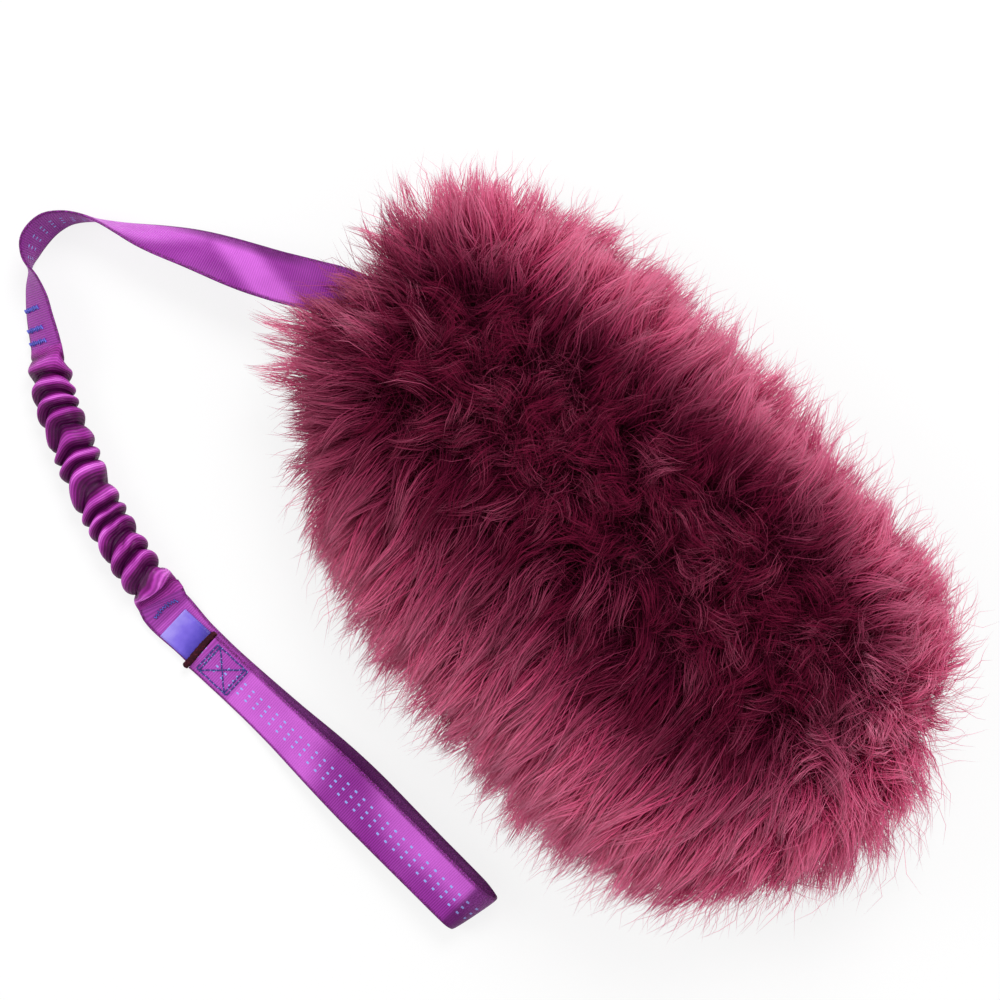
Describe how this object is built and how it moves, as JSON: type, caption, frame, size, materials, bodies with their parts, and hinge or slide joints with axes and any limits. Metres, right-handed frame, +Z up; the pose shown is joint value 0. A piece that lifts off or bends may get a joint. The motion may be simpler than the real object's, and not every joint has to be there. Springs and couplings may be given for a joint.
{
  "type": "sheepskin tug toy",
  "caption": "Dog tug toy lying flat: a long dyed sheepskin body on a webbing leader with a gathered bungee sleeve and a stitched hand loop.",
  "frame": {"origin": "middle of the wool's flat resting face, on the surface the toy lies on", "axes": "+Z up; +X towards the wool's end away from the leader, as the toy is laid out; +Y towards the side where the leader leaves the wool"},
  "size_m": [0.4666, 0.3669, 0.0885],
  "materials": {
    "dyed_wool": "matte",
    "sheep_hide": "matte",
    "tubular_nylon": "satin",
    "seared_nylon": "matte",
    "elastic_rubber": "matte",
    "blue_thread": "satin",
    "violet_satin": "satin"
  },
  "bodies": {
    "sheepskin": {"wool_pile_upper": "dyed_wool", "wool_pile_lower": "dyed_wool", "hide_upper_panel": "sheep_hide", "hide_lower_panel": "sheep_hide", "edge_seam_thread": "blue_thread", "core_strap": "tubular_nylon"},
    "leader": {"leader_strap": "tubular_nylon"},
    "bungee": {"arc_strap": "tubular_nylon", "upper_bar_tack_1": "blue_thread", "upper_bar_tack_2": "blue_thread", "upper_bar_tack_3": "blue_thread", "gathered_sleeve": "tubular_nylon", "elastic_core": "elastic_rubber"},
    "bungee_end": {"sleeve_tail": "tubular_nylon", "lower_bar_tack": "blue_thread"},
    "handle": {"handle_loop": "tubular_nylon", "box_x_stitch": "blue_thread", "label": "violet_satin", "seared_end": "seared_nylon"}
  },
  "joints": [
    {"name": "leader_lift", "type": "hinge", "parent": "sheepskin", "child": "leader", "pos_m": [-0.14973, 0.13016, 0.036], "axis": [0.2572, 0.9664, 0], "range_deg": [-75, 75]},
    {"name": "leader_swing", "type": "hinge", "parent": "leader", "child": "bungee", "pos_m": [-0.26423, 0.16486, 0.0128], "axis": [0, 0, -1], "range_deg": [0, 90]},
    {"name": "bungee_stretch", "type": "slide", "parent": "bungee", "child": "bungee_end", "axis": [0.4067, -0.9136, 0], "range_m": [0, 0.13], "stiffness_N_per_m": 180, "deforming": ["gathered_sleeve", "elastic_core"]},
    {"name": "handle_fold", "type": "hinge", "parent": "bungee_end", "child": "handle", "pos_m": [-0.22434, -0.03127, 0.00286], "axis": [-0.7309, -0.6825, 0], "range_deg": [-90, 90]}
  ]
}
